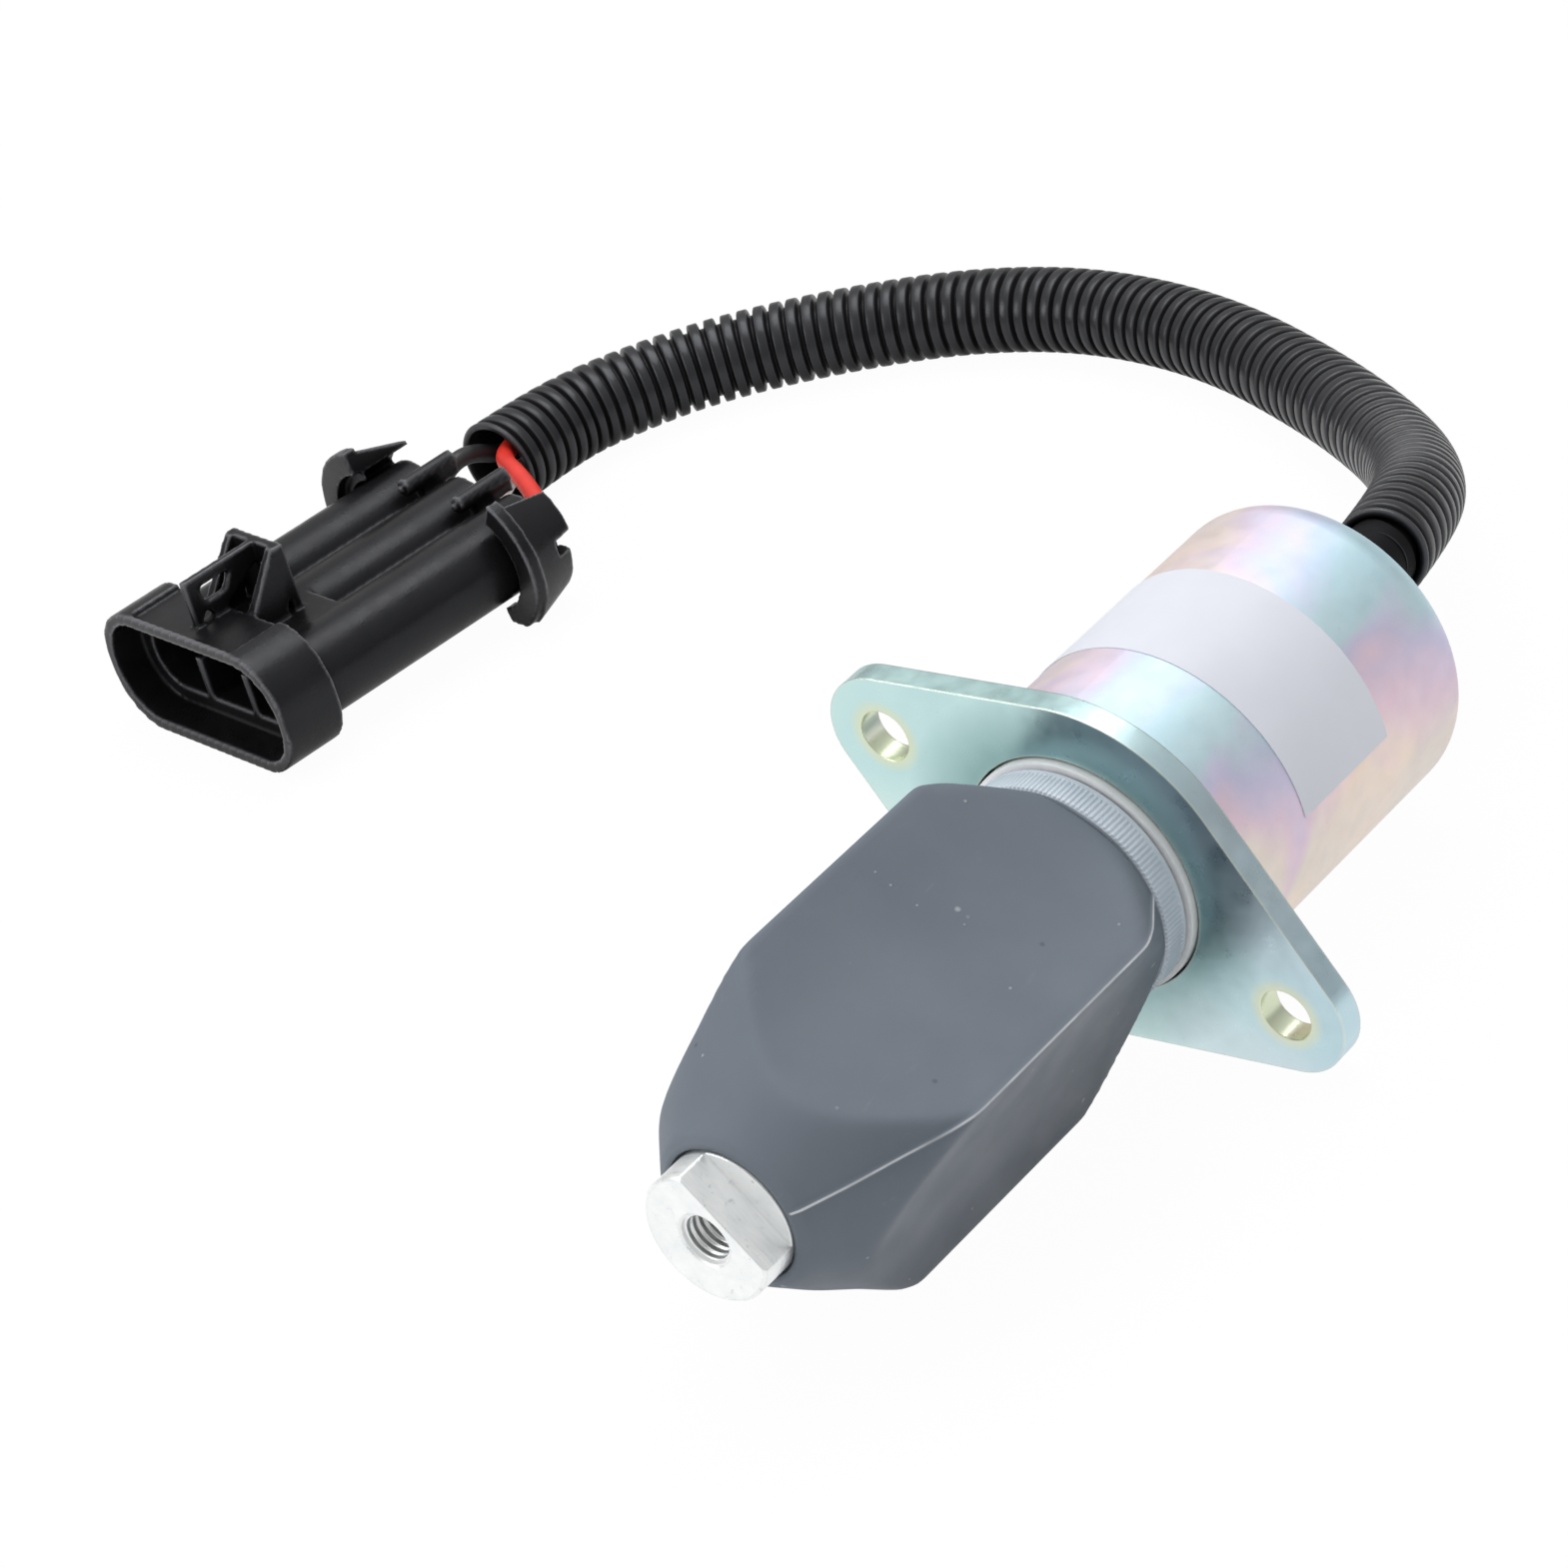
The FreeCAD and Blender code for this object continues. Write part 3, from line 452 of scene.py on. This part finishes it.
def spline_curve(name, points):
    """NURBS curve whose control points are the route's points, in metres."""
    curve = bpy.data.curves.new(name, "CURVE")
    curve.dimensions = "3D"
    spline = curve.splines.new("NURBS")
    spline.points.add(len(points) - 1)
    for target, p in zip(spline.points, points):
        target.co = (*p, 1.0)
    spline.order_u = 3
    spline.use_endpoint_u = True
    spline.resolution_u = 24
    return place_object(name, curve)


def spline_line(points):
    """The smooth line itself, read from the NURBS spline."""
    guide = spline_curve("guide", points)
    mesh = finished_mesh(guide)
    line = np.array([v.co for v in mesh.vertices])
    bpy.data.objects.remove(guide)
    bpy.data.meshes.remove(mesh)
    return line


def walk(line, places):
    """Points and frames at distances along the line, turned as little as can be."""
    steps = np.linalg.norm(np.diff(line, axis=0), axis=1)
    along = np.concatenate([[0.0], np.cumsum(steps)])

    def at(distances):
        return np.stack([np.interp(distances, along, line[:, k]) for k in range(3)], axis=1)

    reach = 0.8 * MM
    tangents = at(places + reach) - at(places - reach)
    tangents /= np.linalg.norm(tangents, axis=1)[:, None]
    side = Vector((0, 1, 0))
    frames = []
    for t in tangents:
        t = Vector(t)
        side = (side - t * side.dot(t)).normalized()
        frames.append((side.copy(), t.cross(side)))
    return at(places), frames


def line_length(line):
    return float(np.linalg.norm(np.diff(line, axis=0), axis=1).sum())


def swept(name, line, stations, count=48, solid=False):
    """Skin through stations (distance along the line, radius), closed on itself or capped."""
    places = np.array([place for place, _ in stations])
    points, frames = walk(line, places)
    verts = []
    for p, (a, b), (_, r) in zip(points, frames, stations):
        for j in range(count):
            t = 2 * math.pi * j / count
            verts.append(Vector(p) + (a * math.cos(t) + b * math.sin(t)) * r)
    faces = ring_faces(len(stations), count, closed=not solid)
    if solid:
        faces.append(tuple(reversed(range(count))))
        faces.append(tuple(range(len(verts) - count, len(verts))))
    return add_object(name, verts, faces)


def make_loom(material):
    """Corrugated tube, thin at both ends, with a thin dark sheet in its first few millimetres,
    painted shade that hides the leads in its mouth.
    """
    line = spline_line([Vector(p) * MM for p in LOOM_ROUTE])
    total = line_length(line)
    ribs = round(total / (RIB_PITCH * MM))
    rim = 0.08 * total / ribs
    shares, radii = zip(*LOOM_GROWTH)
    counted, reached = zip(*RIB_SPREAD)

    def crest(place):
        return float(np.interp(place / total, shares, radii)) * MM

    outside = [(0.0, crest(0.0) - LOOM_LIP * MM), (rim, crest(0.0))]
    edges = [1.0, 1.0]
    for i in range(ribs):
        for share, depth, edge in RIB_SHAPE:
            place = total * float(np.interp((i + share) / ribs, counted, reached))
            outside.append((place, crest(place) - depth * RIB_DEPTH * MM))
            edges.append(edge)
    outside += [(total - rim, crest(total)), (total, crest(total) - LOOM_LIP * MM)]
    edges += [1.0, 1.0]
    near, far, steps = 0.6 * MM, 1.4 * MM, 90
    bore = [total, total - near, total - far]
    bore += [total * k / steps for k in range(steps - 1, 0, -1)] + [far, near, 0.0]
    inside = []
    for place in bore:
        thin = min(place, total - place) < 0.7 * MM
        wall = LOOM_WALL if thin else RIB_DEPTH + LOOM_LIP
        inside.append((place, crest(place) - wall * MM))
    loom = swept("loom_tube", line, outside + inside, LOOM_SIDES)
    # The thin dark sheet below is painted shade in the loom's mouth.
    ahead = Vector(line[1] - line[0]).normalized()
    lined = np.vstack([Vector(line[0]) - ahead * SHADE_SHEET_STARTS * MM, line])
    shade_sheet = swept("shade_sheet", lined, [(place * MM, r * MM) for place, r in SHADE_SHEET])
    both = bmesh.new()
    both.from_mesh(loom.data)
    both.from_mesh(shade_sheet.data)
    both.to_mesh(loom.data)
    both.free()
    bpy.data.objects.remove(shade_sheet)
    loom.data.shade_smooth()
    # The edge marks place a painted highlight on the rib edges and the end rims.
    marks = np.zeros(len(loom.data.vertices))
    marks[:len(edges) * LOOM_SIDES] = np.repeat(edges, LOOM_SIDES)
    set_points(loom.data, "edge", marks)
    dress(loom, material, "loom")
    return loom, line, total


def make_leads(colours):
    """Each lead from inside the can, through the loom, to its barrel."""
    leads = {}
    for name, (barrel, level, way) in WAYS.items():
        rise = Vector((0, 0, level * LEAD_STEP))
        points = [(Vector(p) + rise) * MM for p in (LEAD_START, *LOOM_ROUTE[:-1])]
        end = (BARREL_REAR + LEAD_IN_BARREL, barrel * BARREL_PITCH, BARREL_H)
        points += [CONN @ (Vector(p) * MM) for p in (*way, end)]
        line = spline_line(points)
        total = line_length(line)
        stations = [(total * k / LEAD_STATIONS, LEAD_R * MM) for k in range(LEAD_STATIONS + 1)]
        lead = swept(name + "_wire", line, stations, LEAD_SIDES, solid=True)
        slot, colour = colours[name]
        dress(lead, insulation(slot, colour), name)
        leads[name] = (lead, line, total)
    return leads


# Boot, in millimetres: (x, radius) where it is round, and four gently hollow sides

BOOT_ANGLE = 13.9
BOOT_OUTER = [(0.9, 13.5), (4.9, 13.5), (5.7, 14.9), (12.7, 20.2), (16.4, 22.2), (47.0, 22.2),
              (50.6, 20.4), (55.0, 17.0), (60.0, 13.6), (64.5, 9.9), (65.2, 9.0)]
BOOT_INNER = [(0.9, 11.75), (6.4, 11.75), (7.4, 13.4), (13.6, 18.3), (17.2, 20.3), (46.0, 20.3),
              (49.4, 18.6), (53.8, 15.2), (58.7, 11.9), (61.7, 9.4), (61.9, 7.55), (64.1, 7.55),
              (64.2, 8.35), (65.2, 8.35)]
OUTER_CORNER = 15.9
INNER_CORNER = 14.1
SIDE_HOLLOW = 1.6
CORNER_BLEND = 0.5
SIDE_REACH = math.radians(55)
FIN_HEIGHT = 0.5
FIN_HALF = 0.2
TIP_BEGINS = 64.6


def face_radius(angle, corner, hollow):
    """Distance to a gently hollow square side, angle being from the side's middle."""
    low = corner - hollow
    centre = (2 * corner * corner - low * low) / (2 * hollow)
    big = centre - low
    return centre * math.cos(angle) - math.sqrt(big ** 2 - (centre * math.sin(angle)) ** 2)


def soft_least(values, width):
    """The least value, blended with others that come within the width of it."""
    least = min(values)
    return least - width * math.log(sum(math.exp(-(v - least) / width) for v in values))


def prism_radius(theta, corner):
    """Distance to the four-sided skin at an angle round the axis."""
    sides = []
    for k in range(4):
        away = (theta - math.radians(45 + 90 * k) + math.pi) % (2 * math.pi) - math.pi
        if abs(away) < SIDE_REACH:
            sides.append(face_radius(away, corner, SIDE_HOLLOW))
    return soft_least(sides, CORNER_BLEND)


def smoothed(profile, x, reach):
    """The profile's radius averaged over a reach to both sides of x."""
    xs, rs = zip(*profile)
    places = np.linspace(max(xs[0], x - reach), min(xs[-1], x + reach), 9)
    return float(np.mean(np.interp(places, xs, rs)))


def boot_stations():
    """Angles round the boot, close together at its corners, and x outside and inside."""
    fine = (0, 0.3, 0.55, 0.9, 1.5, 2.6)
    coarse = (0, 1.2, 2.4)
    angles = []
    for k, corner in enumerate((fine, coarse, fine, coarse)):
        angles += [90 * k + a for a in np.arange(4.0, 86.5, 2.5)]
        angles += [90 * k + a for a in sorted({sign * v for v in corner for sign in (-1, 1)})]
    thetas = sorted(math.radians(a) for a in angles)
    neck = [0.9, 1.1, 1.5, 2.5, 3.5, 4.3, 4.9, 5.2, 5.5, 5.8, 6.2]
    tip = [64.0, 64.4, 64.7, 64.9, 65.1, 65.2]
    outer = neck + [round(v, 2) for v in np.arange(6.8, 63.8, 0.65)] + tip
    lip = [65.2, 64.9, 64.3, 64.15, 64.0, 63.0, 62.0, 61.8, 61.5, 60.5]
    inner = lip + list(np.arange(59.0, 5.0, -2.0)) + [3, 0.9]
    return thetas, outer, inner


def make_boot(material):
    """Boot with a mould fin along two corners."""
    thetas, outer_x, inner_x = boot_stations()
    verts = []
    flash_highlight = []
    for x in outer_x:
        turned = smoothed(BOOT_OUTER, x, 0.9 if 7 < x < 63 else 0.25)
        for t in thetas:
            flat = prism_radius(t, OUTER_CORNER)
            r = soft_least([turned, flat], 0.32) if x > 5 else turned
            gap = abs((t + math.pi / 2) % math.pi - math.pi / 2) * turned
            fin = math.exp(-(gap / FIN_HALF) ** 2) if x > 5.4 else 0.0
            flash_highlight.append(fin)
            r += FIN_HEIGHT * fin
            if x > TIP_BEGINS:
                r -= (x - TIP_BEGINS) ** 2 * 0.9
            verts.append((x, r, t))
    for x in inner_x:
        turned = float(np.interp(x, *zip(*BOOT_INNER)))
        for t in thetas:
            verts.append((x, min(turned, prism_radius(t, INNER_CORNER)), t))
    turn = math.radians(BOOT_ANGLE)
    places = [(x * MM, r * MM * math.cos(t + turn), r * MM * math.sin(t + turn))
              for x, r, t in verts]
    faces = ring_faces(len(outer_x) + len(inner_x), len(thetas), closed=True)
    boot = add_object("boot_bellows", places, faces)
    # The fin's mark places a painted highlight along it.
    set_points(boot.data, "flash_highlight", flash_highlight + [0.0] * (len(places) - len(flash_highlight)))
    dress(boot, material, "boot")
    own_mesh(boot)


# Return spring, in millimetres

COILS = 9.0
COIL_R = 10.2
WIRE_R = 0.8
COIL_FIRST, COIL_LAST = 7.0, 57.1
COIL_POINTS = 360


def make_spring(material):
    """Coil inside the boot."""
    line = []
    for i in range(COIL_POINTS + 1):
        t = 2 * math.pi * COILS * i / COIL_POINTS
        x = COIL_FIRST + (COIL_LAST - COIL_FIRST) * i / COIL_POINTS
        line.append((x * MM, COIL_R * MM * math.sin(t), COIL_R * MM * math.cos(t)))
    curve = bpy.data.curves.new("spring", "CURVE")
    curve.dimensions = "3D"
    spline = curve.splines.new("POLY")
    spline.points.add(COIL_POINTS)
    for target, p in zip(spline.points, line):
        target.co = (*p, 1.0)
    curve.bevel_depth = WIRE_R * MM
    curve.bevel_resolution = 3
    curve.use_fill_caps = True
    guide = place_object("spring", curve)
    coil = place_object("spring_coil", finished_mesh(guide))
    bpy.data.objects.remove(guide)
    dress(coil, material, "return_spring")
    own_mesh(coil)


# Cable tie, in millimetres: (x, radius, has teeth) round the band, (size, place) of its head

TIE_TEETH = 148
TOOTH_RISE = [0.0, 0.16, 0.16, 0.0]
TIE_ROWS = [(1.15, 13.56, 0), (1.15, 14.5, 0), (1.3, 14.62, 0), (1.75, 14.62, 0), (1.95, 14.5, 1),
            (4.45, 14.5, 1), (4.7, 14.42, 1), (4.85, 14.25, 0), (4.85, 13.56, 0)]
TIE_HEAD = [((3.4, 4.2, 5.6), (3.0, 16.2, 0.0)), ((2.5, 3.0, 1.6), (3.0, 16.6, -3.2))]
TIE_HEAD_ANGLE = math.radians(236.0)
TIE_HEAD_EDGE = 0.3


def make_tie(material):
    """Nylon band with fine teeth round its outside, and its square head."""
    count = TIE_TEETH * len(TOOTH_RISE)
    verts = []
    for x, r, toothed in TIE_ROWS:
        for j in range(count):
            t = 2 * math.pi * j / count
            rr = (r + toothed * TOOTH_RISE[j % len(TOOTH_RISE)]) * MM
            verts.append((x * MM, rr * math.cos(t), rr * math.sin(t)))
    faces = ring_faces(len(TIE_ROWS), count, closed=True)
    band = add_object("tie_band", verts, faces, smooth=False)
    mesh = bmesh.new()
    mesh.from_mesh(band.data)
    turn = Matrix.Rotation(TIE_HEAD_ANGLE, 4, "X")
    for size, place in TIE_HEAD:
        scale = Matrix.Diagonal((*(Vector(size) * MM), 1.0))
        spot = turn @ Matrix.Translation(Vector(place) * MM) @ scale
        made = bmesh.ops.create_cube(mesh, size=1.0, matrix=spot)
        edges = list({e for v in made["verts"] for e in v.link_edges})
        bmesh.ops.bevel(mesh, geom=edges, offset=TIE_HEAD_EDGE * MM, segments=2,
                        affect="EDGES", profile=0.5)
    mesh.to_mesh(band.data)
    mesh.free()
    dress(band, material, "boot_tie")


# Connector

# Half the curvature, in 1/mm, from which an edge is marked, and how much more marks it in full
EDGE_BEGINS = 0.14
EDGE_SPAN = 0.4


def mark_edges(mesh):
    """Point attribute that is high along outer edges, from how the surface curves; the plastic
    paints a highlight where it is high.
    """
    count = len(mesh.vertices)
    place, normal = np.empty(count * 3), np.empty(count * 3)
    mesh.vertices.foreach_get("co", place)
    mesh.vertices.foreach_get("normal", normal)
    place, normal = place.reshape(-1, 3), normal.reshape(-1, 3)
    pairs = np.empty(len(mesh.edges) * 2, dtype=np.int32)
    mesh.edges.foreach_get("vertices", pairs)
    a, b = pairs.reshape(-1, 2).T
    ends, others = np.concatenate([a, b]), np.concatenate([b, a])
    away = place[ends] - place[others]
    bend = (normal[ends] * away).sum(axis=1) / np.maximum((away ** 2).sum(axis=1), 1e-12)
    touching = np.maximum(np.bincount(ends, minlength=count), 1)
    value = np.bincount(ends, bend, count) / touching
    value = 0.5 * value + 0.5 * np.bincount(ends, value[others], count) / touching
    set_points(mesh, "edge", np.clip((value * MM - EDGE_BEGINS) / EDGE_SPAN, 0.0, 1.0))


def rounded_copy(name, node, voxel, passes, material):
    """The connector's moulded piece with its edges softened as a mould leaves them."""
    obj = place_object(name, NODES[node].data.copy())
    remesh = obj.modifiers.new("remesh", "REMESH")
    remesh.mode = "VOXEL"
    remesh.voxel_size = voxel * MM
    smooth = obj.modifiers.new("smooth", "SMOOTH")
    smooth.factor = 0.5
    smooth.iterations = passes
    reduce = obj.modifiers.new("reduce", "DECIMATE")
    reduce.decimate_type = "COLLAPSE"
    reduce.ratio = 0.5
    mesh = finished_mesh(obj)
    obj.modifiers.clear()
    obj.data = mesh
    mesh.shade_smooth()
    mark_edges(mesh)
    return dress(obj, material, node)


# Floor and light

FLOOR_HALF = 6.0
FLOOR_GREY = (0.85, 0.85, 0.85, 1.0)
FLOOR_GLOW = 0.97
SKY = {"From Min": 0.15, "From Max": 0.9, "To Min": 0.42, "To Max": 0.85}
LIT_SPOT = (-0.03, -0.05, 0)


def make_stage():
    """White floor that glows for the camera and for gloss, and takes soft shadows."""
    z = FLOOR * MM
    corners = [(-1, -1), (1, -1), (1, 1), (-1, 1)]
    mesh = bpy.data.meshes.new("floor")
    mesh.from_pydata([(x * FLOOR_HALF, y * FLOOR_HALF, z) for x, y in corners], [], [(0, 1, 2, 3)])
    floor = place_object("floor", mesh)
    material = bpy.data.materials.new("floor")
    material.use_nodes = True
    tree = material.node_tree
    tree.nodes.clear()
    seen = add_node(tree, "ShaderNodeLightPath").outputs
    either = add_node(tree, "ShaderNodeMath", {0: seen["Is Camera Ray"], 1: seen["Is Glossy Ray"]},
                      operation="MAXIMUM").outputs[0]
    share = add_node(tree, "ShaderNodeMath", {0: either, 1: FLOOR_GLOW}, operation="MULTIPLY")
    diffuse = add_node(tree, "ShaderNodeBsdfDiffuse", {"Color": FLOOR_GREY})
    glow = add_node(tree, "ShaderNodeEmission", {"Strength": 1.0})
    mix = add_node(tree, "ShaderNodeMixShader",
                   {0: share.outputs[0], 1: diffuse.outputs[0], 2: glow.outputs[0]})
    add_node(tree, "ShaderNodeOutputMaterial", {0: mix.outputs[0]})
    set_material(floor, material)


def make_world():
    """White for the camera, and for the rest a sky that brightens towards its top."""
    world = bpy.data.worlds.new("studio")
    bpy.context.scene.world = world
    world.use_nodes = True
    tree = world.node_tree
    back = tree.nodes["Background"]
    back.inputs["Color"].default_value = (1.0, 1.0, 1.0, 1.0)
    coords = add_node(tree, "ShaderNodeTexCoord")
    split = add_node(tree, "ShaderNodeSeparateXYZ", {0: coords.outputs["Generated"]})
    sky = add_node(tree, "ShaderNodeMapRange", {"Value": split.outputs[2], **SKY})
    seen = add_node(tree, "ShaderNodeLightPath")
    strength = add_node(tree, "ShaderNodeMapRange", {"Value": seen.outputs["Is Camera Ray"],
                                                     "To Min": sky.outputs["Result"],
                                                     "To Max": 1.0})
    feed(tree, strength.outputs["Result"], back.inputs["Strength"])


def area_light(name, place, size, power):
    data = bpy.data.lights.new(name, "AREA")
    data.energy = power
    data.size = size
    light = place_object(name, data)
    light.location = place
    light.rotation_euler = (Vector(LIT_SPOT) - Vector(place)).to_track_quat("-Z", "Y").to_euler()


bpy.context.scene.view_settings.view_transform = "Standard"
make_camera()
make_stage()
make_world()
area_light("key", (-0.25, -0.15, 0.9), 0.7, 5.5)
area_light("side", (0.75, -0.55, 0.45), 0.5, 3.0)

# Pieces that are made here

# The last number is the shade of the painted highlight along outer edges.
loom_black = black_plastic("loom_plastic", 0.0095, 0.33, 1500.0, 0.46, 0.045)
moulded = black_plastic("connector_plastic", 0.0065, 0.3, 2500.0, 0.27, 0.11)
spring_steel = plain_metal("spring_steel", (0.6, 0.6, 0.6), 0.35)
loom, loom_line, loom_length = make_loom(loom_black)
leads = make_leads({
    "lead_red": ("red_insulation", (0.78, 0.035, 0.02)),
    "lead_white": ("white_insulation", (0.75, 0.75, 0.72)),
    "lead_black": ("black_insulation", (0.02, 0.02, 0.022)),
})
shell = rounded_copy("connector_housing", "connector_shell", 0.3, 3, moulded)
clips = [rounded_copy("clip_" + side, "lock_clip_" + side, 0.25, 2, moulded)
         for side in ("left", "right")]
make_boot(boot_rubber())
make_spring(spring_steel)
make_tie(tie_nylon())

# Solids that are shown as they are

FINISHES = [
    (flange_zinc(), ["mounting_flange"]),
    (can_zinc(), ["can"]),
    (label_film(), ["label"]),
    # The poles' near-white, mostly diffuse finish stands in for the highlight on the pole ring: a
    # painted highlight.
    (plain_metal("pole_steel", (0.97, 0.97, 0.97), 0.4, metallic=0.2), ["front_pole", "rear_pole"]),
    (plunger_steel(), ["plunger", "spring_seat"]),
    (spring_steel, ["retaining_ring"]),
    (plain_metal("brass", (0.8, 0.62, 0.3), 0.3), ["guide_tube"]),
    (black_plastic("bobbin_plastic", 0.03, 0.45), ["bobbin"]),
    (insulation("enamel_wire", (0.5, 0.16, 0.05), 0.25), ["pull_winding", "hold_winding"]),
    (insulation("tape", (0.6, 0.42, 0.08)), ["winding_tape"]),
    (black_plastic("potting", 0.02, 0.5), ["rear_potting"]),
    # The grommet is black rubber, darkened further as painted shade in the loom's hollow mouth.
    (black_plastic("grommet_rubber", 0.004, 0.6, gloss=0.15), ["rear_grommet"]),
    (plain_metal("tinned_brass", (0.75, 0.74, 0.7), 0.3),
     ["terminal_left", "terminal_mid", "terminal_right"]),
    (insulation("seal_silicone", (0.05, 0.2, 0.08), 0.5), ["seal_left", "seal_mid", "seal_right"]),
]
for material, names in FINISHES:
    for name in names:
        set_material(NODES[name], material)
